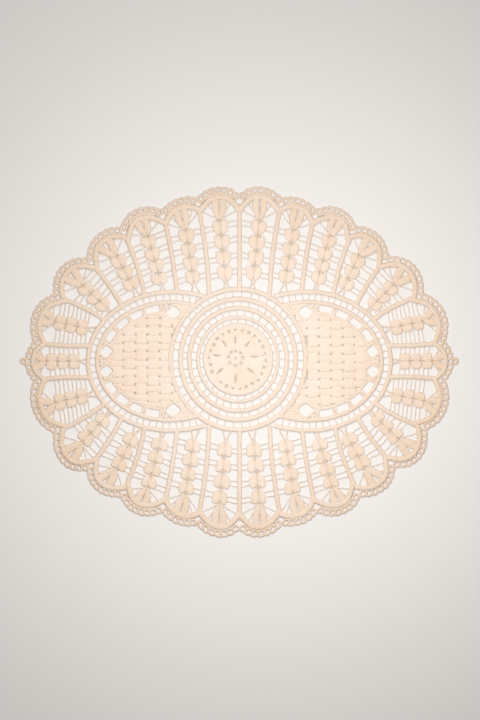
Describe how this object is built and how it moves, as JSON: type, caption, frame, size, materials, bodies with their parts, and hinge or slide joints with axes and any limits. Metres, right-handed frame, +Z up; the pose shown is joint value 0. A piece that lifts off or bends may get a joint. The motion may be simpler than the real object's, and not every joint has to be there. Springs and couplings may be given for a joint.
{
  "type": "lace doily",
  "caption": "Flat oval doily of openwork cotton lace with a scalloped edge, a round medallion flanked by pointed eyes, and arched leaf panels all round.",
  "frame": {"origin": "middle of the doily's box, on the face it rests on", "axes": "+X along the long axis of the oval, +Y along the short axis, +Z up from the table"},
  "size_m": [0.4, 0.3196, 0.002],
  "materials": {
    "cotton_lace": "matt ivory cotton thread, plaited and woven, with fine thread relief"
  },
  "bodies": {
    "root": {"doily": "cotton_lace"}
  },
  "joints": []
}
